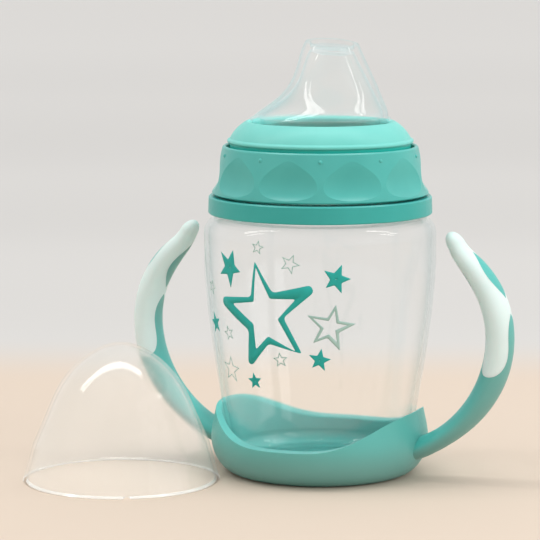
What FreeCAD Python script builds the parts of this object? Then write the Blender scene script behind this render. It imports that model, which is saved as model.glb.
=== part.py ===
import FreeCAD, Part
import math
import os

# Two-handled trainer cup: a clear bottle that stands in a handle base, a screw-on lid with a soft
# spout, and a clear travel cap standing beside it.
# Millimetres. The origin is on the table, on the bottle's axis; +Z is up, the handles lie along X.

V = FreeCAD.Vector
UP = V(0, 0, 1)
ORIGIN = V(0, 0, 0)

# ---- Driving dimensions ----
# Bottle
BELLY_R = 36.6              # widest outer radius
BELLY_DROP = 16.0           # widest part below the shoulder's top
FOOT_R = 28.4               # outer radius just above the rounded foot
FOOT_ROUND = 5.4            # corner radius of the foot
TAPER_POWER = 1.4           # how the side narrows from belly to foot
SHOULDER_Z = 82.0           # top of the shoulder
SHOULDER_ROUND = 6.0
BOTTLE_WALL = 1.4
PUSH_UP = 1.2               # hollow under the bottle's floor
SEAT_H = 5.4                # plain band of the neck, inside the neck ring
NECK_R = 26.6               # root radius of the neck thread
NECK_WALL = 2.0
NECK_H = 15.5               # shoulder to the mouth
# Screw thread between the neck and the collar
PITCH = 4.0
THREAD_DEPTH = 1.3
THREAD_ROOT_W = 2.0
THREAD_CREST_W = 0.9
THREAD_MARGIN = 0.5         # plain neck left above the ridge
COLLAR_TURNS = 0.9
COLLAR_START = 54.0         # degrees from the neck's ridge to the collar's
THREAD_CLEARANCE = 0.5      # radial, crest to root, both ways
THREAD_START = 3.6          # first neck turn above the plain band
# Neck ring
RING_WIDTH = 7.0            # plain band to the outer edge
RING_H = 5.5
RING_LIFT = 0.3             # the outer wall stops this far above the shoulder
RING_WALL = 1.5
RING_EDGE = 0.3             # small rounding of its edges
# Screw collar
COLLAR_GAP = 0.6            # above the neck ring
COLLAR_SETBACK = 1.2        # foot inside the neck ring's edge
COLLAR_OVER_LIP = 1.5       # rim outside the lid's lip
COLLAR_H = 15.1
COLLAR_RIM_W = 1.2
COLLAR_FOOT_H = 1.2         # plain band under the finger hollows
WEB_H = 1.25                # inner flange that holds the lid down
HOLLOWS = 10                # finger hollows round the collar
HOLLOW_DEPTH = 1.25
HOLLOW_LOW = 1.0            # lower edge above the collar's foot
HOLLOW_HIGH = 13.6          # where it fades out, above the collar's foot
PIP_R = 0.7
PIP_DROP = 2.6              # below the collar's rim
# Spout ring (the domed part of the lid)
LIP_R = 29.2
LIP_H = 1.4
LIP_GAP = 0.9               # lip above the collar's rim, where the cap seats
GROOVE_DEPTH = 0.9          # how far the lip stands out over the groove under it
DOME_H = 5.3                # lip to the top of the dome
DOME_SHELL = 2.0
HOLE_LIP = 5.6              # how far the dome reaches in over the spout's plug
RING_FOOT_H = 1.4
RING_FOOT_STEP = 1.0        # what the collar's web holds
# Spout
FLANGE_H = 1.8
SPOUT_H = 24.4              # above the dome
SPOUT_SETBACK = 0.6         # where it leaves its bead, inside the dome's hole
BEAD_H = 1.2
SPOUT_WALL = 1.5
PLUG_WALL = 3.2
SPOUT_TIP_HALF = 8.4
SPOUT_LEAN = 3.6            # the tip's offset from the axis
TIP_FLOOR = 1.4
TIP_RECESS = 1.3
TIP_TILT_SIDE = 3.5         # degrees
TIP_TILT_FRONT = 6.0
SLOT_LENGTH = 5.0
SLOT_WIDTH = 1.1
# Handle base
BASE_FLOOR = 2.6
BASE_FOOT_R = 25.5
BASE_BULGE = 2.18           # widest part outside the rim at the handles
BASE_WIDEST_Z = 10.5
RIM_LOW = 11.7              # rim height at the front and back
RIM_HIGH = 21.4             # rim height at the handles
RIM_TOP_WALL = 0.9
RIM_ROUND = 0.7
RIM_POWER = 2.0             # how late the rim starts to rise towards the handles
HANDLE_GAP = 22.9           # bottle's belly to the centre line of the handle at its widest
HANDLE_TIP_GAP = 8.5        # bottle's belly to the end of the centre line
HANDLE_TIP_DROP = 7.8       # end of the centre line below the shoulder's top
HANDLE_REACH_DROP = 29.2    # widest part of the handle below its tip
HANDLE_ROOT_Z = 8.6
BAR_HALF_W = 4.3            # half width of the handle at its widest, seen from the side
BAR_HALF_T = 5.8            # half thickness of the handle there, across it
TIP_LENGTH = 4.4            # length of the rounded end
GRIP_SKIN = 1.2
GRIP_LENGTH = 40.8          # down from the handle's tip
WINDOW_HALF = 3.5
WINDOW_DROP = 1.4           # upper window below the handle's tip
WINDOW_LENGTH = 16.6
WINDOW_BRIDGE = 2.6         # grip left between the two windows
# Travel cap, standing on the table
CAP_SEAT = 0.5              # inside of the rim round the lid's lip
CAP_H = 43.3
CAP_WALL = 1.1
CAP_SKIRT_H = 11.5
CAP_FLARE = 3.1             # how much wider the rim is than the dome's foot
CAP_STEP = 0.12             # the skirt stands this far out from the dome
CAP_TUCK = 1.2              # how far its rim reaches in under the base's widest part
CAP_ANGLE = 215.5           # degrees round the bottle's axis
CAP_NOTCH_W = 3.0
# Fits
RING_PASS = 0.3             # neck ring's seat outside the thread's crest
SEAT_CLEARANCE = 0.12       # ring on the neck
BOWL_CLEARANCE = 0.4        # bottle in the base
SOFT_CLEARANCE = 0.35       # silicone in the spout ring
TURN_CLEARANCE = 0.15       # collar over the lid
LID_ANGLE = 21.0            # how the lid is turned on the neck at rest

# ---- Derived sizes ----
BOTTLE_Z = BASE_FLOOR
BELLY_Z = SHOULDER_Z - BELLY_DROP
FOOT_TOP = BOTTLE_Z + FOOT_ROUND
MOUTH_Z = SHOULDER_Z + NECK_H
SEAT_TOP = SHOULDER_Z + SEAT_H
RING_TOP = SHOULDER_Z + RING_LIFT + RING_H
COLLAR_Z = RING_TOP + COLLAR_GAP
COLLAR_TOP = COLLAR_Z + COLLAR_H
LIP_Z = COLLAR_TOP + LIP_GAP
DOME_TOP = LIP_Z + LIP_H + DOME_H
FLANGE_TOP = MOUTH_Z + FLANGE_H
RING_FOOT_TOP = FLANGE_TOP + RING_FOOT_H
WEB_Z = RING_FOOT_TOP + TURN_CLEARANCE
THREAD_Z = SEAT_TOP + THREAD_START
NECK_TURNS = (MOUTH_Z - THREAD_MARGIN - THREAD_ROOT_W / 2 - THREAD_Z) / PITCH
THREAD_CREST_R = NECK_R + THREAD_DEPTH
COLLAR_ROOT_R = THREAD_CREST_R + THREAD_CLEARANCE
SEAT_R = THREAD_CREST_R + RING_PASS
RING_R = SEAT_R + RING_WIDTH
RING_NECK_R = COLLAR_ROOT_R - RING_FOOT_STEP
HOLE_R = RING_NECK_R - HOLE_LIP
SPOUT_R = HOLE_R - SPOUT_SETBACK
PLUG_BORE_R = HOLE_R - PLUG_WALL
COLLAR_R = RING_R - COLLAR_SETBACK
COLLAR_TOP_R = LIP_R + COLLAR_OVER_LIP
TIP_Z = DOME_TOP + SPOUT_H
GROOVE_R = LIP_R - GROOVE_DEPTH
GROOVE_Z = WEB_Z + WEB_H + TURN_CLEARANCE
HANDLE_REACH = BELLY_R + HANDLE_GAP
HANDLE_TIP_R = BELLY_R + HANDLE_TIP_GAP
HANDLE_TIP_Z = SHOULDER_Z - HANDLE_TIP_DROP
HANDLE_REACH_Z = HANDLE_TIP_Z - HANDLE_REACH_DROP
GRIP_END_Z = HANDLE_TIP_Z - GRIP_LENGTH
WINDOW_TOP = HANDLE_TIP_Z - WINDOW_DROP
WINDOW_LOW = WINDOW_TOP - WINDOW_LENGTH
LOWER_WINDOW_TOP = WINDOW_LOW - WINDOW_BRIDGE
CAP_R = LIP_R + CAP_SEAT + CAP_WALL
CAP_SKIRT_R = CAP_R - CAP_FLARE
EMBED = 0.3                 # how deep a raised feature is rooted in its wall


def bottle_radius(height):
    """Outer radius of the bottle's side between the foot and the belly."""
    fall = (BELLY_Z - height) / (BELLY_Z - FOOT_TOP)
    return BELLY_R - (BELLY_R - FOOT_R) * fall ** TAPER_POWER


# The handle base follows the bottle's side, and the cap stands close to the base.
BASE_R = bottle_radius(RIM_HIGH) + BOWL_CLEARANCE + RIM_TOP_WALL + BASE_BULGE
CAP_DISTANCE = BASE_R + CAP_R - CAP_TUCK


# ---- Outline helpers ----
def point(pair):
    return V(pair[0], 0, pair[1])


def lathe(start, *steps):
    """Turned solid. A step is a point, an arc (middle, end) or a curve [points]; points are (r, z)."""
    edges = []
    here = point(start)
    for step in list(steps) + [start]:
        if isinstance(step, list):
            spline = Part.BSplineCurve()
            spline.interpolate([here] + [point(pair) for pair in step])
            edges.append(spline.toShape())
            here = point(step[-1])
        elif isinstance(step[0], tuple):
            edges.append(Part.Arc(here, point(step[0]), point(step[1])).toShape())
            here = point(step[1])
        elif (point(step) - here).Length > 1e-6:
            edges.append(Part.makeLine(here, point(step)))
            here = point(step)
    face = Part.Face(Part.Wire(edges))
    return face.revolve(ORIGIN, UP, 360)


def corner(centre, radius, degrees):
    """Point on a circle in the outline's plane."""
    turn = math.radians(degrees)
    return (centre[0] + radius * math.cos(turn), centre[1] + radius * math.sin(turn))


def cylinder(radius, low, high):
    return Part.makeCylinder(radius, high - low, V(0, 0, low))


def turned(shape, degrees):
    copy = shape.copy()
    copy.rotate(ORIGIN, UP, degrees)
    return copy


def one_solid(shape):
    """The single solid of a boolean result."""
    return shape.Solids[0] if len(shape.Solids) == 1 else shape


def helix_ridge(inner_r, outer_r, root_r, turns, start_z, start_angle):
    """Trapezoid ridge wound round the axis; root_r tells which side is the wide one."""
    wide = THREAD_ROOT_W / 2
    narrow = THREAD_CREST_W / 2
    at_inner = wide if root_r == inner_r else narrow
    at_outer = narrow if root_r == inner_r else wide
    corners = [V(inner_r, 0, -at_inner), V(outer_r, 0, -at_outer)]
    corners += [V(outer_r, 0, at_outer), V(inner_r, 0, at_inner)]
    section = Part.makePolygon(corners + [corners[0]])
    path = Part.Wire(Part.makeHelix(PITCH, PITCH * turns, inner_r).Edges)
    ridge = path.makePipeShell([section], True, True)
    ridge.translate(V(0, 0, start_z))
    return turned(ridge, start_angle)


# ---- Bottle ----
def side_points(offset, low, high, steps=6):
    """Points up the bottle's side, moved out by offset; the first is left to the caller."""
    heights = [low + (high - low) * i / steps for i in range(1, steps + 1)]
    return [(bottle_radius(height) + offset, height) for height in heights]


def make_bottle():
    foot_centre = (FOOT_R - FOOT_ROUND, FOOT_TOP)
    shoulder_centre = (BELLY_R - SHOULDER_ROUND, SHOULDER_Z - SHOULDER_ROUND)
    ring_r = foot_centre[0] - 3.0
    inner_side = side_points(-BOTTLE_WALL, FOOT_TOP, BELLY_Z)
    inner_side = inner_side[::-1][1:] + [(FOOT_R - BOTTLE_WALL, FOOT_TOP)]
    inner_foot = FOOT_ROUND - BOTTLE_WALL
    inner_shoulder = SHOULDER_ROUND - BOTTLE_WALL
    neck_inner = NECK_R - NECK_WALL
    body = lathe(
        (0, BOTTLE_Z + PUSH_UP),
        (ring_r - PUSH_UP, BOTTLE_Z + PUSH_UP),
        (ring_r, BOTTLE_Z),
        (foot_centre[0], BOTTLE_Z),
        (corner(foot_centre, FOOT_ROUND, -45), (FOOT_R, FOOT_TOP)),
        side_points(0, FOOT_TOP, BELLY_Z),
        (BELLY_R, shoulder_centre[1]),
        (corner(shoulder_centre, SHOULDER_ROUND, 45), (shoulder_centre[0], SHOULDER_Z)),
        (SEAT_R, SHOULDER_Z),
        (SEAT_R, SEAT_TOP),
        (NECK_R, SEAT_TOP + 0.6),
        (NECK_R, MOUTH_Z - 0.4),
        (NECK_R - 0.4, MOUTH_Z),
        (neck_inner + 0.3, MOUTH_Z),
        (neck_inner, MOUTH_Z - 0.3),
        (neck_inner, SHOULDER_Z - BOTTLE_WALL),
        (shoulder_centre[0], SHOULDER_Z - BOTTLE_WALL),
        (corner(shoulder_centre, inner_shoulder, 45), (BELLY_R - BOTTLE_WALL, shoulder_centre[1])),
        (BELLY_R - BOTTLE_WALL, BELLY_Z),
        inner_side,
        (corner(foot_centre, inner_foot, -45), (foot_centre[0], BOTTLE_Z + BOTTLE_WALL)),
        (ring_r, BOTTLE_Z + BOTTLE_WALL),
        (ring_r - PUSH_UP, BOTTLE_Z + BOTTLE_WALL + PUSH_UP),
        (0, BOTTLE_Z + BOTTLE_WALL + PUSH_UP),
    )
    root = NECK_R - EMBED
    ridge = helix_ridge(root, THREAD_CREST_R, root, NECK_TURNS, THREAD_Z, LID_ANGLE)
    return one_solid(body.fuse(ridge))


def make_neck_ring():
    """Band round the bottle's neck: a top web with an outer skirt and an inner foot."""
    inner = SEAT_R + SEAT_CLEARANCE
    low = SHOULDER_Z + RING_LIFT
    return lathe(
        (inner, SHOULDER_Z),
        (inner + RING_WALL, SHOULDER_Z),
        (inner + RING_WALL, RING_TOP - RING_WALL),
        (RING_R - RING_WALL, RING_TOP - RING_WALL),
        (RING_R - RING_WALL, low),
        (RING_R - RING_EDGE, low),
        (RING_R, low + RING_EDGE),
        (RING_R - 0.15, RING_TOP - 0.4),
        (RING_R - 0.5, RING_TOP),
        (inner, RING_TOP),
    )


# ---- Lid ----
def collar_radius(height):
    return COLLAR_R + (COLLAR_TOP_R - COLLAR_R) * (height - COLLAR_Z) / COLLAR_H


# Share of the hollow's height and of its depth, from its crisp lower edge to where it fades out.
HOLLOW_STATIONS = (
    (-0.08, -0.7), (0.0, 0.0), (0.09, 0.62), (0.24, 1.0), (0.42, 0.98), (0.62, 0.62),
    (0.80, 0.22), (1.0, 0.0), (1.12, -0.06),
)


def finger_hollow():
    """Cutter lying across the collar's side: flat round the collar, scooped up and down."""
    height = HOLLOW_HIGH - HOLLOW_LOW
    rows = []
    for share, depth in HOLLOW_STATIONS:
        z = COLLAR_Z + HOLLOW_LOW + height * share
        rows.append(V(collar_radius(z) - HOLLOW_DEPTH * depth, 0, z))
    scoop = Part.BSplineCurve()
    scoop.interpolate(rows)
    outside = COLLAR_R + 2 * HOLLOW_DEPTH
    corners = [rows[-1], V(outside, 0, rows[-1].z), V(outside, 0, rows[0].z), rows[0]]
    lines = [Part.makeLine(corners[i], corners[i + 1]) for i in range(3)]
    face = Part.Face(Part.Wire([scoop.toShape()] + lines))
    cutter = face.extrude(V(0, 2 * COLLAR_ROOT_R, 0))
    cutter.translate(V(0, -COLLAR_ROOT_R, 0))
    return cutter


def make_screw_collar():
    inner_rim = COLLAR_TOP_R - COLLAR_RIM_W
    web_top = WEB_Z + WEB_H
    web_inner = RING_NECK_R + 0.5
    chamber_r = COLLAR_ROOT_R + 0.4
    body = lathe(
        (COLLAR_ROOT_R + 0.5, COLLAR_Z),
        (COLLAR_R - 0.4, COLLAR_Z),
        (COLLAR_R, COLLAR_Z + 0.4),
        (COLLAR_TOP_R, COLLAR_TOP - 0.4),
        (COLLAR_TOP_R - 0.4, COLLAR_TOP),
        (inner_rim + 0.3, COLLAR_TOP),
        (inner_rim, COLLAR_TOP - 0.3),
        (inner_rim, web_top),
        (web_inner, web_top),
        (web_inner, WEB_Z),
        (chamber_r, WEB_Z),
        (chamber_r, MOUTH_Z),
        (COLLAR_ROOT_R, MOUTH_Z - 0.5),
        (COLLAR_ROOT_R, COLLAR_Z + 0.5),
    )
    cutter = finger_hollow()
    step = 360.0 / HOLLOWS
    first = LID_ANGLE - 90 + step / 2
    body = body.cut([turned(cutter, first + step * i) for i in range(HOLLOWS)])
    pip_z = COLLAR_TOP - PIP_DROP
    pip = Part.makeSphere(PIP_R, V(collar_radius(pip_z) - PIP_R / 2, 0, pip_z))
    body = body.fuse([turned(pip, first + step * (i + 0.5)) for i in range(HOLLOWS)])
    root = COLLAR_ROOT_R + EMBED
    crest = NECK_R + THREAD_CLEARANCE
    # Half a pitch under the neck's ridge, so that its upper flank bears on that ridge.
    start_z = THREAD_Z - PITCH / 2 + PITCH * COLLAR_START / 360
    ridge = helix_ridge(crest, root, root, COLLAR_TURNS, start_z, LID_ANGLE + COLLAR_START)
    return one_solid(body.fuse(ridge))


def make_spout_ring():
    """Domed ring with a lip for the travel cap; its foot is held under the collar's web."""
    foot_r = COLLAR_ROOT_R - 0.1
    bore_r = RING_NECK_R - 1.5
    lip_top = LIP_Z + LIP_H
    shoulder = (LIP_R - 2.0, lip_top + 1.9)
    crown = (HOLE_R + 1.5, DOME_TOP)
    return lathe(
        (bore_r, FLANGE_TOP),
        (foot_r, FLANGE_TOP),
        (foot_r, RING_FOOT_TOP),
        (RING_NECK_R, RING_FOOT_TOP),
        (RING_NECK_R, GROOVE_Z),
        (GROOVE_R, GROOVE_Z),
        (GROOVE_R, LIP_Z),
        (LIP_R - 0.5, LIP_Z),
        ((LIP_R, LIP_Z + 0.55), (LIP_R - 0.35, lip_top - 0.2)),
        (LIP_R - 0.9, lip_top + 0.1),
        [shoulder, (LIP_R - 3.9, lip_top + 3.9), crown],
        ((HOLE_R + 0.35, DOME_TOP - 0.4), (HOLE_R, DOME_TOP - 1.1)),
        (HOLE_R, DOME_TOP - DOME_SHELL),
        [(LIP_R - 5.2, lip_top + 1.6), (bore_r, lip_top - 0.4)],
    )


def spout_section(height, offset, half, widen, tilt):
    """Oval across the spout; it is widened across the offset and tilted by a share of the tip's tilt."""
    oval = Part.Ellipse(ORIGIN, half * widen, half).toShape()
    oval.rotate(ORIGIN, UP, 90)
    oval.rotate(ORIGIN, V(1, 0, 0), TIP_TILT_FRONT * tilt)
    oval.rotate(ORIGIN, V(0, 1, 0), TIP_TILT_SIDE * tilt)
    oval.translate(V(offset, 0, height))
    return Part.Wire(oval)


# Share of the spout's height, share of the lean, share of the narrowing from base to tip.
SPOUT_STATIONS = (
    (0.0, 0.0, 0.0), (0.08, 0.30, 0.09), (0.23, 0.80, 0.33), (0.38, 1.08, 0.52),
    (0.61, 1.14, 0.72), (0.83, 1.02, 0.87), (1.0, 1.0, 1.0),
)


def spout_loft(inset, top_cut):
    base = DOME_TOP + BEAD_H
    rise = TIP_Z - base - top_cut
    rings = []
    for share, lean, narrowing in SPOUT_STATIONS:
        half = SPOUT_R + (SPOUT_TIP_HALF - SPOUT_R) * narrowing - inset
        widen = 1.001 + 0.12 * share
        rings.append(spout_section(base + rise * share, SPOUT_LEAN * lean, half, widen, share))
    return Part.makeLoft(rings, True, False)


def make_spout():
    """One silicone moulding: flange, plug, bead and the hollow drinking spout."""
    plug_r = HOLE_R - SOFT_CLEARANCE
    flange_r = COLLAR_ROOT_R - 0.6
    bead_r = SPOUT_R + 0.9
    base = DOME_TOP + BEAD_H
    seat = DOME_TOP + 0.15
    foot = lathe(
        (0, MOUTH_Z),
        (flange_r, MOUTH_Z),
        (flange_r, FLANGE_TOP),
        (plug_r, FLANGE_TOP),
        (plug_r, seat),
        (bead_r - 0.4, seat),
        ((bead_r, (seat + base) / 2), (SPOUT_R + 0.35, base)),
        (0, base),
    )
    hollow = spout_loft(SPOUT_WALL, TIP_RECESS + TIP_FLOOR)
    bore = cylinder(PLUG_BORE_R, MOUTH_Z - 1, base + 1)
    recess_half = SPOUT_TIP_HALF - SPOUT_WALL
    mouth = Part.Face(spout_section(TIP_Z - TIP_RECESS, SPOUT_LEAN, recess_half, 1.1, 1.0))
    recess = mouth.extrude(V(0, 0, 2 * TIP_RECESS))
    depth = TIP_RECESS + TIP_FLOOR
    slot = Part.makeBox(SLOT_LENGTH, SLOT_WIDTH, 3 * depth)
    slot.translate(V(SPOUT_LEAN - SLOT_LENGTH / 2, -SLOT_WIDTH / 2, TIP_Z - 2 * depth))
    spout = foot.fuse(spout_loft(0, 0))
    for cutter in (hollow, bore, recess, slot):
        spout = spout.cut(cutter)
    return turned(one_solid(spout), LID_ANGLE)


# ---- Handle base ----
def rim_height(across):
    """The rim's saddle: low at the front and back, with a rounded peak at each handle."""
    share = min(1.0, abs(across) / BASE_R)
    return RIM_LOW + (RIM_HIGH - RIM_LOW) * math.sin(math.pi / 2 * share ** RIM_POWER) ** 2


def above_rim():
    """Everything above the saddle-shaped rim, which is high at the handles."""
    reach = BASE_R + 4.0
    steps = 12
    xs = [reach * (2 * i / steps - 1) for i in range(steps + 1)]
    curve = Part.BSplineCurve()
    curve.interpolate([V(x, 0, rim_height(x)) for x in xs])
    ceiling = RIM_HIGH + 10
    left, right = xs[0], xs[-1]
    sides = [V(right, 0, rim_height(right)), V(right, 0, ceiling)]
    sides += [V(left, 0, ceiling), V(left, 0, rim_height(left))]
    walls = [Part.makeLine(sides[i], sides[i + 1]) for i in range(3)]
    face = Part.Face(Part.Wire([curve.toShape()] + walls))
    block = face.extrude(V(0, 2 * reach, 0))
    block.translate(V(0, -reach, 0))
    return block


def bowl_hollow(top):
    """The room that the bottle stands in, with its clearance at the sides only."""
    inner_foot = (FOOT_R - FOOT_ROUND, FOOT_TOP)
    inner_r = FOOT_ROUND + BOWL_CLEARANCE
    floor_r = math.sqrt(inner_r ** 2 - FOOT_ROUND ** 2) + inner_foot[0]
    return lathe(
        (0, BASE_FLOOR),
        (floor_r, BASE_FLOOR),
        (corner(inner_foot, inner_r, -40), (FOOT_R + BOWL_CLEARANCE, FOOT_TOP)),
        side_points(BOWL_CLEARANCE, FOOT_TOP, top, 3),
        (0, top),
    )


def on_rim(edge):
    middle = edge.valueAt((edge.FirstParameter + edge.LastParameter) / 2)
    return abs(middle.z - rim_height(middle.x)) < 0.02


def make_bowl():
    top = RIM_HIGH + 1.5
    rim_r = bottle_radius(top) + BOWL_CLEARANCE + RIM_TOP_WALL
    bowl = lathe(
        (0, 0),
        (BASE_FOOT_R, 0),
        [(BASE_FOOT_R + 4.6, 1.5), (BASE_R - 1.2, 5.6), (BASE_R, BASE_WIDEST_Z),
         (BASE_R - 0.5, 15.5), (rim_r, top)],
        (0, top),
    )
    bowl = bowl.cut(bowl_hollow(top)).cut(above_rim())
    return bowl.makeFillet(RIM_ROUND, [edge for edge in bowl.Edges if on_rim(edge)])


def handle_line():
    """Centre line of the right handle, from inside the bowl's wall to the start of its round end."""
    lower = HANDLE_REACH_Z - HANDLE_ROOT_Z
    upper = HANDLE_TIP_Z - HANDLE_REACH_Z
    points = [
        V(BASE_R - 3.4, 0, HANDLE_ROOT_Z),
        V(HANDLE_REACH - 15.7, 0, HANDLE_ROOT_Z + 0.187 * lower),
        V(HANDLE_REACH - 4.3, 0, HANDLE_ROOT_Z + 0.55 * lower),
        V(HANDLE_REACH, 0, HANDLE_REACH_Z),
        V(HANDLE_REACH - 4.6, 0, HANDLE_REACH_Z + 0.57 * upper),
        V(HANDLE_TIP_R + 3.9, 0, HANDLE_TIP_Z - 5.0),
        V(HANDLE_TIP_R, 0, HANDLE_TIP_Z),
    ]
    line = Part.BSplineCurve()
    line.interpolate(points)
    return line


# Share of the centre line, share of the half width and share of the half thickness.
BAR_STATIONS = (
    (0.0, 0.76, 1.12), (0.1, 0.75, 1.07), (0.2, 0.78, 1.02), (0.3, 0.87, 1.0), (0.4, 0.95, 1.0),
    (0.5, 1.0, 1.0), (0.6, 1.0, 1.0), (0.7, 0.99, 0.99), (0.8, 0.95, 0.94), (0.9, 0.83, 0.82),
    (1.0, 0.62, 0.62),
)


def bar_section(line, station, inset):
    """Oval across the centre line, with its long axis across the handle's plane."""
    share, wide, thick = station
    first, last = line.FirstParameter, line.LastParameter
    where = first + (last - first) * share
    centre = line.value(where)
    along = V(*line.tangent(where)[0])
    half_w = BAR_HALF_W * wide - inset
    half_t = BAR_HALF_T * thick - inset
    frame = FreeCAD.Rotation(V(0, 1, 0), along.cross(V(0, 1, 0)), along, "ZXY")
    place = FreeCAD.Placement(centre, frame)
    return half_w, half_t, place


def handle_bar(inset):
    """The handle's whole body, or a body inside it by the inset."""
    line = handle_line()
    rings = []
    for station in BAR_STATIONS:
        half_w, half_t, place = bar_section(line, station, inset)
        oval = Part.Ellipse(ORIGIN, half_t, half_w).toShape()
        oval.Placement = place.multiply(oval.Placement)
        rings.append(Part.Wire(oval))
    body = Part.makeLoft(rings, True, False)
    stretch = FreeCAD.Matrix()
    stretch.scale(V(half_t, half_w, TIP_LENGTH - inset))
    end = Part.makeSphere(1.0).transformGeometry(stretch)
    end.Placement = place
    return body.fuse(end)


def across(points, side):
    """Curve through (y, z) points on one side of the handle's middle plane."""
    curve = Part.BSplineCurve()
    curve.interpolate([V(0, side * y, z) for y, z in points])
    return curve.toShape()


def grip_window():
    """Lens through the grip, seen from inside and outside the handle."""
    middle = (WINDOW_LOW + WINDOW_TOP) / 2
    centre_x = HANDLE_REACH - 6.0
    reach = 30.0
    half = [(0, WINDOW_TOP), (WINDOW_HALF * 0.95, middle - 1.5), (0, WINDOW_LOW)]
    lens = Part.Face(Part.Wire([across(half, 1), across(half, -1)]))
    lens.translate(V(centre_x - reach / 2, 0, 0))
    window = lens.extrude(V(reach, 0, 0))
    window.rotate(V(centre_x, 0, middle), V(0, 1, 0), -18)
    return window


def grip_tail():
    """The flame-shaped slot and the open end below it, where the core comes to the surface."""
    side = BAR_HALF_T + 2
    top, end = LOWER_WINDOW_TOP, GRIP_END_Z
    half = [(0, top), (WINDOW_HALF * 0.8, top - 4.5), (WINDOW_HALF * 0.88, top - 9.0),
            (WINDOW_HALF * 0.86, end + 6.0), (BAR_HALF_T * 0.86, end + 1.6), (side, end)]
    below = end - 40
    floor = [V(0, side, end), V(0, side, below), V(0, -side, below), V(0, -side, end)]
    lines = [Part.makeLine(floor[i], floor[i + 1]) for i in range(3)]
    face = Part.Face(Part.Wire([across(half, 1)] + lines + [across(half, -1)]))
    return face.extrude(V(2 * HANDLE_REACH, 0, 0))


def make_handles():
    """Core bar and soft grip of the right handle; together they fill the handle's outline."""
    bar = handle_bar(0)
    skin = bar.cut(handle_bar(GRIP_SKIN))
    grip = skin.cut([grip_tail(), grip_window()])
    core = bar.cut(grip)
    return one_solid(core), one_solid(grip)


def make_handle_base(core):
    bowl = make_bowl()
    cores = [core, turned(core, 180)]
    inside = bowl_hollow(RIM_HIGH + 5)
    return one_solid(bowl.fuse([part.cut(inside) for part in cores]))


# ---- Travel cap ----
# Share of the dome's height and of its foot's radius: straight sides under a round crown.
DOME_STATIONS = (
    (0.126, 0.936), (0.26, 0.868), (0.41, 0.794), (0.55, 0.715), (0.685, 0.612),
    (0.81, 0.477), (0.92, 0.306), (0.98, 0.154), (1.0, 0.0),
)


def cap_dome(inset):
    """Dome outline from the top of the skirt to the crown."""
    radius = CAP_SKIRT_R - inset
    rise = CAP_H - CAP_SKIRT_H - inset
    return [(radius * width, CAP_SKIRT_H + rise * share) for share, width in DOME_STATIONS]


def make_travel_cap():
    inner_rim = CAP_R - CAP_WALL
    inner_dome = cap_dome(CAP_WALL)[::-1][1:] + [(CAP_SKIRT_R - CAP_WALL, CAP_SKIRT_H)]
    cap = lathe(
        (inner_rim, 0),
        (CAP_R - 0.3, 0),
        (CAP_R, 0.3),
        (CAP_R - CAP_FLARE / 2, CAP_SKIRT_H / 2),
        (CAP_SKIRT_R + CAP_STEP, CAP_SKIRT_H - 4 * CAP_STEP),
        (CAP_SKIRT_R, CAP_SKIRT_H),
        cap_dome(0),
        (0, CAP_H - CAP_WALL),
        inner_dome,
        (inner_rim - CAP_FLARE / 2, CAP_SKIRT_H / 2),
        (inner_rim - 0.2, 1.1),
        (inner_rim - 0.7, 0.7),
    )
    notch_start = V(inner_rim - 1.5, 0, -CAP_NOTCH_W / 4)
    notch = Part.makeCylinder(CAP_NOTCH_W / 2, 3 * CAP_WALL, notch_start, V(1, 0, 0))
    cap = cap.cut(turned(notch, LID_ANGLE - 83))
    turn = math.radians(CAP_ANGLE)
    cap.translate(V(CAP_DISTANCE * math.cos(turn), CAP_DISTANCE * math.sin(turn), 0))
    return one_solid(cap)


def main():
    os.makedirs("parts", exist_ok=True)
    core, grip = make_handles()
    nodes = {
        "handle_base": make_handle_base(core),
        "right_grip": grip,
        "left_grip": turned(grip, 180),
        "bottle": make_bottle(),
        "neck_ring": make_neck_ring(),
        "screw_collar": make_screw_collar(),
        "spout_ring": make_spout_ring(),
        "spout": make_spout(),
        "travel_cap": make_travel_cap(),
    }
    for name, shape in nodes.items():
        shape.exportStep(os.path.join("parts", name + ".step"))
        box = shape.BoundBox
        print(name, "solids", len(shape.Solids), "valid", shape.isValid(), "volume", round(shape.Volume),
              "z", round(box.ZMin, 2), round(box.ZMax, 2), "r", round(box.XMax, 2))


main()
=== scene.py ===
import math

import bpy
from mathutils import Matrix, Vector


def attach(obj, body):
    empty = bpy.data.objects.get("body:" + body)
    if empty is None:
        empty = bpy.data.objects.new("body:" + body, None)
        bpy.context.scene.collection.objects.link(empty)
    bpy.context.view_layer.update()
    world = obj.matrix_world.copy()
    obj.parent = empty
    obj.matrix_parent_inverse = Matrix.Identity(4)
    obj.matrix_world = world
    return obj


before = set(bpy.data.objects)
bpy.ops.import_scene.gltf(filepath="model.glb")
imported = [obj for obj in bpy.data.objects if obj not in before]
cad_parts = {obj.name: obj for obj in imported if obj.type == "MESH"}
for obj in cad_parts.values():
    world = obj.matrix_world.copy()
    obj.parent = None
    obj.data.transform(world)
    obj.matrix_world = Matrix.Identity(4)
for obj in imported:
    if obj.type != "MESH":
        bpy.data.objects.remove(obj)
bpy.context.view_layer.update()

# A two-handled trainer cup with its travel cap beside it, on a plain pale floor in soft light.
# Metres. The bottle's axis is the Z axis and the handles lie along X.

MM = 0.001
VIEW_TURN = math.radians(21.0)      # the camera stands this far round from the cup's front


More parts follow.
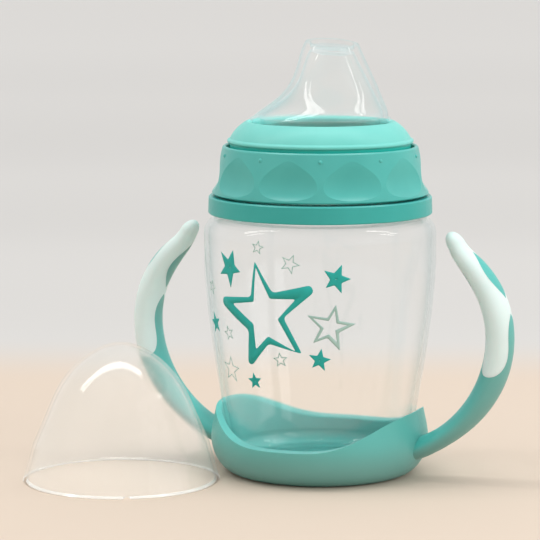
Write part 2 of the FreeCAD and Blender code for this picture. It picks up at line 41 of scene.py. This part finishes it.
# ---- Materials ----
MOTTLE_SCALE = 60.0                 # noise cells per metre: soft mottle in a coloured plastic
SKIN_SCALE = 900.0                  # fine moulded skin
SKIN_DEPTH = 0.04 * MM
FLOW_SCALE = 45.0                   # slow waves in a clear moulding
FLOW_DEPTH = 0.2 * MM
FLOW_STRENGTH = 0.02
COLOR_SPREAD = (0.35, 0.65)         # noise levels that give the darker and the lighter colour
GLOSS_SPREAD = (0.3, 0.7)           # noise levels that give the lower and the higher roughness
PLASTIC_IOR = 1.49
THIN_WALL_IOR = 1.012               # a thin wall hardly bends the light, so nothing behind it is doubled
UNDER_SKIN_REACH = (0.6, 1.0, 0.9)  # red light goes less far in teal plastic than green and blue
UNDER_SKIN_DEPTH = 2 * MM
EDGE_SPREAD = (0.5, 0.92)           # from where the edge tint starts to where it is full
SLOPE_SPREAD = (-0.7, 0.75)         # upward share of the normal, on an under side and on an upper side
MOTTLE_SHARE = 0.25                 # how much of the mottle is left over the painted slope shade and reflection
INK_SPECULAR = 0.2


def new_material(name):
    material = bpy.data.materials.new(name)
    material.use_nodes = True
    nodes = material.node_tree.nodes
    nodes.clear()
    output = nodes.new("ShaderNodeOutputMaterial")
    shader = nodes.new("ShaderNodeBsdfPrincipled")
    material.node_tree.links.new(shader.outputs["BSDF"], output.inputs["Surface"])
    return material, shader


def shader_of(material):
    return material.node_tree.nodes["Principled BSDF"]


def add_noise(material, scale, detail=4.0):
    """Noise over the object's own coordinates, so that it stays put when the piece moves."""
    tree = material.node_tree
    place = tree.nodes.new("ShaderNodeTexCoord")
    noise = tree.nodes.new("ShaderNodeTexNoise")
    noise.inputs["Scale"].default_value = scale
    noise.inputs["Detail"].default_value = detail
    tree.links.new(place.outputs["Object"], noise.inputs["Vector"])
    return noise


def add_spread(tree, value, spread, smooth=False):
    """The value's share of the way through a range, from 0 at its start to 1 at its end."""
    node = tree.nodes.new("ShaderNodeMapRange")
    node.inputs["From Min"].default_value, node.inputs["From Max"].default_value = spread
    if smooth:
        node.interpolation_type = "SMOOTHSTEP"
    tree.links.new(value, node.inputs["Value"])
    return node


def add_color_mix(tree):
    node = tree.nodes.new("ShaderNodeMix")
    node.data_type = "RGBA"
    return node


def vary_color(material, shader, noise, low, high):
    tree = material.node_tree
    ramp = tree.nodes.new("ShaderNodeValToRGB")
    for stop, position, color in zip(ramp.color_ramp.elements, COLOR_SPREAD, (low, high)):
        stop.position = position
        stop.color = (*color, 1)
    tree.links.new(noise.outputs["Fac"], ramp.inputs["Fac"])
    tree.links.new(ramp.outputs["Color"], shader.inputs["Base Color"])


def vary_roughness(material, shader, noise, low, high):
    tree = material.node_tree
    spread = add_spread(tree, noise.outputs["Fac"], GLOSS_SPREAD)
    spread.inputs["To Min"].default_value = low
    spread.inputs["To Max"].default_value = high
    tree.links.new(spread.outputs["Result"], shader.inputs["Roughness"])


def add_bump(material, shader, noise, strength, distance):
    tree = material.node_tree
    bump = tree.nodes.new("ShaderNodeBump")
    bump.inputs["Strength"].default_value = strength
    bump.inputs["Distance"].default_value = distance
    tree.links.new(noise.outputs["Fac"], bump.inputs["Height"])
    tree.links.new(bump.outputs["Normal"], shader.inputs["Normal"])


def plastic(name, low, high, roughness, grain, under_skin=0.0):
    """Moulded plastic: a faint mottle in the colour, uneven gloss and a fine moulded skin."""
    material, shader = new_material(name)
    mottle = add_noise(material, MOTTLE_SCALE)
    vary_color(material, shader, mottle, low, high)
    skin = add_noise(material, SKIN_SCALE, detail=2.0)
    vary_roughness(material, shader, skin, *roughness)
    add_bump(material, shader, skin, grain, SKIN_DEPTH)
    shader.inputs["IOR"].default_value = PLASTIC_IOR
    if under_skin:
        shader.inputs["Subsurface Weight"].default_value = under_skin
        shader.inputs["Subsurface Radius"].default_value = UNDER_SKIN_REACH
        shader.inputs["Subsurface Scale"].default_value = UNDER_SKIN_DEPTH
    return material


def clear_material(name, low, high, haze, open_share, mirror, gloss):
    """Thin clear moulding: mostly open, a trace of tint and haze, and a polished skin that mirrors."""
    material, shader = new_material(name)
    flow = add_noise(material, FLOW_SCALE, detail=2.0)
    vary_color(material, shader, flow, low, high)
    vary_roughness(material, shader, flow, gloss, gloss * 2)
    add_bump(material, shader, flow, FLOW_STRENGTH, FLOW_DEPTH)
    shader.inputs["Transmission Weight"].default_value = 1.0 - haze
    shader.inputs["IOR"].default_value = THIN_WALL_IOR
    shader.inputs["Alpha"].default_value = 1.0 - open_share
    shader.inputs["Coat Weight"].default_value = 1.0
    shader.inputs["Coat Roughness"].default_value = gloss
    shader.inputs["Coat IOR"].default_value = mirror
    return material


def tint_edges(material, tint):
    """A clear wall is deeper in colour where the light runs along it."""
    tree = material.node_tree
    base_color = shader_of(material).inputs["Base Color"]
    facing = tree.nodes.new("ShaderNodeLayerWeight")
    facing.inputs["Blend"].default_value = 0.5
    edge = add_spread(tree, facing.outputs["Facing"], EDGE_SPREAD, smooth=True)
    mix = add_color_mix(tree)
    mix.inputs["B"].default_value = (*tint, 1)
    tree.links.new(edge.outputs["Result"], mix.inputs["Factor"])
    tree.links.new(base_color.links[0].from_socket, mix.inputs["A"])
    tree.links.new(mix.outputs["Result"], base_color)


def paint_slope_shade_and_reflection(material, under, upper):
    """Painted shade and painted reflection of the warm floor, following the world normal: greyer on under
    sides, more saturated on upper sides.
    """
    tree = material.node_tree
    base_color = shader_of(material).inputs["Base Color"]
    place = tree.nodes.new("ShaderNodeNewGeometry")
    split = tree.nodes.new("ShaderNodeSeparateXYZ")
    tree.links.new(place.outputs["Normal"], split.inputs["Vector"])
    slope = add_spread(tree, split.outputs["Z"], SLOPE_SPREAD, smooth=True)
    shade = add_color_mix(tree)
    shade.inputs["A"].default_value = (*under, 1)
    shade.inputs["B"].default_value = (*upper, 1)
    blend = add_color_mix(tree)
    blend.inputs["Factor"].default_value = MOTTLE_SHARE
    tree.links.new(slope.outputs["Result"], shade.inputs["Factor"])
    tree.links.new(shade.outputs["Result"], blend.inputs["A"])
    tree.links.new(base_color.links[0].from_socket, blend.inputs["B"])
    tree.links.new(blend.outputs["Result"], base_color)


# Name, darker and lighter colour, lower and higher roughness, strength of the skin's grain, and
# the share of light that goes under the skin.
TEAL = plastic("teal_plastic", (0.055, 0.375, 0.345), (0.068, 0.41, 0.375), (0.28, 0.36), 0.05, 0.2)
# Neck ring: a darker copy of the collar's teal, painted shade under the collar's overhang.
NECK_RING_PAINTED_SHADE = plastic("teal_ring_painted_shade", (0.022, 0.34, 0.31), (0.03, 0.365, 0.335), (0.28, 0.36), 0.05, 0.2)
# Groove under the spout ring's lip: a lighter, more saturated teal, painted glow of light through the
# plastic in that recess.
GROOVE_PAINTED_GLOW = plastic("teal_groove_painted_glow", (0.004, 0.50, 0.42), (0.006, 0.53, 0.45), (0.28, 0.36), 0.05, 0.2)
TEAL_DOME = plastic("teal_dome", (0.13, 0.52, 0.475), (0.155, 0.56, 0.51), (0.40, 0.48), 0.05, 0.2)
TEAL_BASE = plastic("teal_base", (0.09, 0.37, 0.34), (0.11, 0.40, 0.37), (0.36, 0.46), 0.08, 0.15)
GRIP = plastic("soft_grip", (0.62, 0.755, 0.735), (0.66, 0.785, 0.765), (0.48, 0.58), 0.12, 0.3)
INK_TEAL = plastic("ink_teal", (0.02, 0.345, 0.305), (0.028, 0.38, 0.34), (0.5, 0.6), 0.04)
INK_PALE = plastic("ink_pale", (0.30, 0.47, 0.42), (0.36, 0.53, 0.48), (0.45, 0.55), 0.04)
shader_of(INK_TEAL).inputs["Specular IOR Level"].default_value = INK_SPECULAR
# Painted shade and painted reflection of the warm floor: the base's under sides greyer, its upper sides
# more saturated.
paint_slope_shade_and_reflection(TEAL_BASE, (0.16, 0.34, 0.31), (0.06, 0.45, 0.41))

# Name, darker and lighter colour, share of haze, share that is open, mirror of the skin as an index
# of refraction, and roughness of the skin.
CLEAR = clear_material("clear_plastic", (0.97, 0.99, 0.99), (0.985, 1.0, 1.0), 0.02, 0.6, 1.6, 0.02)
SILICONE = clear_material("clear_silicone", (0.95, 0.99, 0.99), (0.97, 1.0, 1.0), 0.04, 0.5, 1.6, 0.07)
CAP_CLEAR = clear_material("cap_plastic", (0.90, 0.93, 0.93), (0.94, 0.96, 0.96), 0.17, 0.60, 1.8, 0.06)
# Cap rim: hazier and less open than the cap, a painted highlight for the bright line of light along the
# wall's edge.
CAP_RIM_PAINTED_HIGHLIGHT = clear_material("cap_rim_painted_highlight", (0.93, 0.97, 0.97), (0.96, 0.99, 0.99), 0.5, 0.15, 1.9, 0.06)
tint_edges(CLEAR, (0.36, 0.56, 0.57))
tint_edges(SILICONE, (0.30, 0.74, 0.80))


# ---- Dressing the nodes ----
NODE_MATERIALS = {
    "handle_base": TEAL_BASE,
    "left_grip": GRIP,
    "right_grip": GRIP,
    "bottle": CLEAR,
    "neck_ring": NECK_RING_PAINTED_SHADE,
    "screw_collar": TEAL,
    "spout_ring": TEAL_DOME,
    "spout": SILICONE,
    "travel_cap": CAP_CLEAR,
}
CLEAR_NODES = ("bottle", "spout", "travel_cap")
CAP_RIM_HIGHLIGHT_BAND = (-0.1 * MM, 0.6 * MM)         # the edge that the cap stands on, painted whiter as a highlight line
GROOVE_GLOW_BAND = (100 * MM, 104.5 * MM)     # the groove under the spout ring's lip, painted lighter as light glowing through the plastic


def dress(node, material):
    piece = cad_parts[node]
    piece.data.materials.clear()
    piece.data.materials.append(material)


def dress_band(node, material, low, high):
    """Another material on the faces whose middle lies between two heights."""
    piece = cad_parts[node]
    piece.data.materials.append(material)
    slot = len(piece.data.materials) - 1
    for polygon in piece.data.polygons:
        if low < (piece.matrix_world @ polygon.center).z < high:
            polygon.material_index = slot


for node_name, node_material in NODE_MATERIALS.items():
    dress(node_name, node_material)
# Painted highlight: the cap's bottom edge is made whiter than the rest of the cap.
dress_band("travel_cap", CAP_RIM_PAINTED_HIGHLIGHT, *CAP_RIM_HIGHLIGHT_BAND)
# Painted glow: the groove under the lip is coloured lighter than the rest of the ring.
dress_band("spout_ring", GROOVE_PAINTED_GLOW, *GROOVE_GLOW_BAND)

# Lamps shine through the clear mouldings.
for node_name in CLEAR_NODES:
    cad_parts[node_name].visible_shadow = False


# ---- Printed stars ----
# A star is placed by degrees round from the middle of the print and by height in millimetres. Its
# tips and notches are (direction in degrees, length in millimetres) pairs, so each is a little uneven.
PRINT_TURN = math.radians(-69.0)     # middle of the print, seen from the bottle's axis
INK_LIFT = 0.03 * MM
INK_THICK = 0.05 * MM
OUTSIDE = 60 * MM                    # from the axis, clear of the bottle's wall
MOST_ROUNDED = 0.45                  # share of an edge that rounding may take at each end
ROUND_SHARES = (0.0, 0.25, 0.5, 0.75, 1.0)
EDGE_STEPS = 5
SOLID_RINGS = (0.03, 0.35, 0.68, 1.0)    # rings of a filled star, as shares of its outline
SOLID_ROUND = 0.35                   # rounding, in millimetres
LINE_ROUND = 0.25
INNER_ROUND = 0.5                    # rounding inside a drawn line, as a share of that outside
NOTCH = 0.42                         # notch of a line star, as a share of its tip
TIP_STROKE = 2.2                     # a line star's tips are this many strokes thick along their length
LINE_STROKE = 0.36
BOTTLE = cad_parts["bottle"]


def on_bottle(angle, height, lift):
    """Point that far outside the bottle's wall, in a direction from the axis and at a height."""
    outward = Vector((math.cos(angle), math.sin(angle), 0))
    start = outward * OUTSIDE + Vector((0, 0, height))
    hit, place, normal, _ = BOTTLE.ray_cast(start, -outward)
    if not hit:
        raise ValueError("a star misses the bottle")
    return place + normal * lift


def towards(here, there, distance):
    """Point that far from one corner towards the next, short of the middle of their edge."""
    return here + (there - here) * min(MOST_ROUNDED, distance / (there - here).length)


def corner_point(degrees, length):
    turn = math.radians(degrees)
    return Vector((math.cos(turn), math.sin(turn))) * length


def star_outline(corners, round_off):
    """Closed outline through its corners, each rounded a little."""
    corners = [corner_point(*corner) for corner in corners]
    outline = []
    for i, here in enumerate(corners):
        before, after = corners[i - 1], corners[(i + 1) % len(corners)]
        start = towards(here, before, round_off)
        end = towards(here, after, round_off)
        stop = towards(after, here, round_off)
        for share in ROUND_SHARES:
            outline.append(start.lerp(here, share).lerp(here.lerp(end, share), share))
        for step in range(1, EDGE_STEPS):
            outline.append(end.lerp(stop, step / EDGE_STEPS))
    return outline


def regular_star(radius, turn, notch):
    corners = []
    for i in range(5):
        corners += [(turn + 72 * i, radius), (turn + 36 + 72 * i, notch)]
    return corners


class Print:
    """One colour of ink: patches laid on the bottle, gathered into one mesh."""

    def __init__(self):
        self.vertices = []
        self.faces = []

    def patch(self, rings, degrees, height):
        """A patch between the first and last ring of points, with a top, an underside and a rim."""
        count = len(rings[0])
        base = len(self.vertices)
        layer = len(rings) * count
        middle = PRINT_TURN + math.radians(degrees)
        belly = on_bottle(middle, height * MM, 0)
        radius = math.hypot(belly.x, belly.y)
        for lift in (INK_LIFT + INK_THICK, INK_LIFT):
            for ring in rings:
                for x, y in ring:
                    self.vertices.append(on_bottle(middle + x * MM / radius, (height + y) * MM, lift))
        for row in range(len(rings) - 1):
            for i in range(count):
                j = (i + 1) % count
                quad = [base + row * count + i, base + row * count + j]
                quad += [base + (row + 1) * count + j, base + (row + 1) * count + i]
                self.faces.append(quad)
                self.faces.append([corner + layer for corner in reversed(quad)])
        for row in (0, len(rings) - 1):
            for i in range(count):
                j = (i + 1) % count
                low, high = base + row * count + i, base + row * count + j
                rim = [low, low + layer, high + layer, high]
                self.faces.append(rim if row == 0 else rim[::-1])

    def solid(self, corners, degrees, height):
        """A filled star."""
        outline = star_outline(corners, SOLID_ROUND)
        middle = Vector((0, 0))
        rings = [[middle.lerp(point, share) for point in outline] for share in SOLID_RINGS]
        self.patch(rings, degrees, height)

    def drawn(self, outer, inner, degrees, height, round_off):
        """A star drawn as a line between two outlines."""
        outside = star_outline(outer, round_off)
        inside = star_outline(inner, round_off * INNER_ROUND)
        between = [a.lerp(b, 0.5) for a, b in zip(inside, outside)]
        self.patch([inside, between, outside], degrees, height)

    def line_star(self, radius, turn, degrees, height):
        """A small regular star, drawn as a thin line."""
        outer = regular_star(radius, turn, radius * NOTCH)
        inner = regular_star(radius - TIP_STROKE * LINE_STROKE, turn, radius * NOTCH - LINE_STROKE)
        self.drawn(outer, inner, degrees, height, LINE_ROUND)

    def place(self, name, material):
        mesh = bpy.data.meshes.new(name)
        mesh.from_pydata(self.vertices, [], self.faces)
        mesh.materials.append(material)
        for polygon in mesh.polygons:
            polygon.use_smooth = True
        piece = bpy.data.objects.new(name, mesh)
        bpy.context.scene.collection.objects.link(piece)
        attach(piece, "bottle")


def print_teal_stars():
    ink = Print()
    # The large star has a thin top and thick blunt ends at its sides and lower left.
    outer = [(101.5, 15.8), (100.5, 15.7), (66, 7.0), (32, 17.4), (24, 17.2), (-11, 6.3), (-45.5, 16.6),
             (-47, 16.6), (-85, 9.6), (-109.5, 17.9), (-115.5, 18.2), (-137, 8.7), (-184, 17.7),
             (-191.5, 17.5), (-224, 6.6)]
    inner = [(101.2, 14.0), (100.8, 14.0), (67, 4.9), (26, 10.8), (24, 10.8), (-22, 4.6), (-49.5, 14.8),
             (-50.5, 14.8), (-84, 7.3), (-108, 12.1), (-110, 12.1), (-139, 5.8), (-187, 12.2),
             (-189, 12.2), (-220, 4.9)]
    ink.drawn(outer, inner, -28, 55, 1.3)
    ink.solid([(75, 5.8), (25, 2.4), (-12, 4.8), (-45, 2.3), (-88, 6.3), (-122, 2.5), (-154, 5.7),
               (-186, 2.5), (-224, 6.6), (-250, 2.6)], -49, 67.9)
    ink.solid([(68, 4.9), (34, 2.1), (0, 4.7), (-34, 2.1), (-68, 4.8), (-104, 1.9), (-140, 4.1),
               (-178, 1.8), (-217, 4.6), (-253, 2.0)], 7.6, 66)
    ink.solid([(80, 3.8), (42, 1.6), (5, 3.6), (-29, 1.6), (-63, 3.8), (-98, 1.5), (-134, 3.3),
               (-171, 1.4), (-208, 3.7), (-245, 1.6)], -0.2, 40.8)
    ink.solid(regular_star(2.8, 24, 1.2), -37.3, 33)
    ink.solid(regular_star(3.6, 100, 1.5), -66.9, 49.3)
    ink.place("print_stars_teal", INK_TEAL)


def print_pale_stars():
    ink = Print()
    outer = [(80, 7.4), (42, 3.1), (8, 7.7), (-33, 2.8), (-69, 7.8), (-111, 3.4), (-140, 7.4), (-177, 3.4),
             (-208, 8.4), (-248, 3.3)]
    inner = [(80, 5.4), (42, 2.0), (8, 4.9), (-33, 1.4), (-69, 4.9), (-111, 2.1), (-140, 5.4), (-177, 2.3),
             (-208, 6.4), (-248, 2.3)]
    ink.drawn(outer, inner, 5.7, 51, 0.5)
    # Length of the tips, turn of the star, degrees round and height.
    ink.line_star(2.4, 80, -31.3, 75.0)
    ink.line_star(3.3, 66, -14.5, 70.5)
    ink.line_star(2.6, 96, -20.7, 40.5)
    ink.line_star(4.4, 84, -55.2, 35.5)
    ink.line_star(2.6, 70, -66.9, 60.6)
    ink.line_star(2.6, 104, -53.5, 47.1)
    ink.place("print_stars_pale", INK_PALE)


print_teal_stars()
print_pale_stars()


# ---- Floor ----
# The floor runs flat far behind the cup. It is warm where the cup stands and grey behind it, and it gets
# lighter with distance, which makes up for the lamps' falloff.
FLOOR_HALF = 20.0
FLOOR_ROUGHNESS = 0.75
FLOOR_SPECULAR = 0.2
NEAR_COLOR = Vector((0.60, 0.505, 0.42))
FAR_COLOR = Vector((1.0, 0.984, 0.96))
FLOOR_BANDS = (                      # distance behind the cup, and colour
    (0.16, NEAR_COLOR),
    (0.27, FAR_COLOR * 0.55),
    (0.6, FAR_COLOR * 0.61),
    (1.0, FAR_COLOR * 0.69),
    (1.7, FAR_COLOR * 0.76),
    (2.6, FAR_COLOR * 0.80),
)


def floor_material():
    material, shader = new_material("floor_pale")
    tree = material.node_tree
    place = tree.nodes.new("ShaderNodeTexCoord")
    split = tree.nodes.new("ShaderNodeSeparateXYZ")
    tree.links.new(place.outputs["Object"], split.inputs["Vector"])
    first, last = FLOOR_BANDS[0][0], FLOOR_BANDS[-1][0]
    behind = add_spread(tree, split.outputs["Y"], (first, last))
    bands = tree.nodes.new("ShaderNodeValToRGB")
    bands.color_ramp.interpolation = "EASE"
    stops = bands.color_ramp.elements
    shares = [(distance - first) / (last - first) for distance, _ in FLOOR_BANDS]
    for share in shares[1:-1]:
        stops.new(share)
    for stop, (_, color) in zip(stops, FLOOR_BANDS):
        stop.color = (*color, 1)
    tree.links.new(behind.outputs["Result"], bands.inputs["Fac"])
    tree.links.new(bands.outputs["Color"], shader.inputs["Base Color"])
    shader.inputs["Roughness"].default_value = FLOOR_ROUGHNESS
    shader.inputs["Specular IOR Level"].default_value = FLOOR_SPECULAR
    return material


def make_floor():
    mesh = bpy.data.meshes.new("floor")
    corners = [(x * FLOOR_HALF, y * FLOOR_HALF, 0) for x, y in ((-1, -1), (1, -1), (1, 1), (-1, 1))]
    mesh.from_pydata(corners, [], [(0, 1, 2, 3)])
    mesh.materials.append(floor_material())
    floor = bpy.data.objects.new("floor", mesh)
    bpy.context.scene.collection.objects.link(floor)
    floor.rotation_euler = (0, 0, VIEW_TURN)


make_floor()


# ---- Light ----
def area_light(name, place, aim, size, power, color):
    """Lamp whose place and aim turn with the view: +X is to its right and -Y towards the camera."""
    data = bpy.data.lights.new(name, "AREA")
    data.shape = "RECTANGLE"
    data.size, data.size_y = size
    data.energy = power
    data.color = color
    light = bpy.data.objects.new(name, data)
    bpy.context.scene.collection.objects.link(light)
    spin = Matrix.Rotation(VIEW_TURN, 3, "Z")
    light.location = spin @ Vector(place)
    look = spin @ Vector(aim) - light.location
    light.rotation_euler = look.to_track_quat("-Z", "Y").to_euler()
    return light


def make_world(color, strength):
    world = bpy.data.worlds.new("studio")
    world.use_nodes = True
    background = world.node_tree.nodes["Background"]
    background.inputs["Color"].default_value = (*color, 1)
    background.inputs["Strength"].default_value = strength
    bpy.context.scene.world = world


make_world((1.0, 0.99, 0.98), 0.88)
# Name, place, aim, size in metres, watts and colour.
area_light("window_left", (-0.85, -0.5, 0.9), (0, 0, 0.06), (1.2, 1.2), 0.6, (1.0, 0.98, 0.95))
area_light("window_top", (0.0, 0.02, 0.85), (0, 0, 0.05), (2.4, 0.10), 6.5, (1.0, 0.99, 0.97))
fill_right = area_light("fill_right", (0.95, -0.55, 0.5), (0, 0, 0.06), (1.0, 1.0), 5.5, (0.98, 0.99, 1.0))
fill_right.visible_glossy = False    # it leaves no streak on the clear pieces
bpy.context.scene.view_settings.view_transform = "Standard"


# ---- Camera ----
def make_camera():
    distance, height = 0.88, 0.181
    aim_height = 0.064                   # height on the axis that lies level with the frame's middle
    pan = math.radians(1.027)            # the cup stands a little right of the frame's middle
    focal = 187.7                        # in millimetres, on a sensor 36 mm wide
    camera = bpy.data.objects.new("camera", bpy.data.cameras.new("camera"))
    bpy.context.scene.collection.objects.link(camera)
    camera.data.lens = focal
    camera.data.sensor_width = 36.0
    camera.location = (distance * math.sin(VIEW_TURN), -distance * math.cos(VIEW_TURN), height)
    pitch = math.atan((height - aim_height) / distance)
    camera.rotation_euler = (math.pi / 2 - pitch, 0, VIEW_TURN + pan)
    camera.data.clip_start = 0.05
    camera.data.clip_end = FLOOR_HALF
    bpy.context.scene.camera = camera


make_camera()
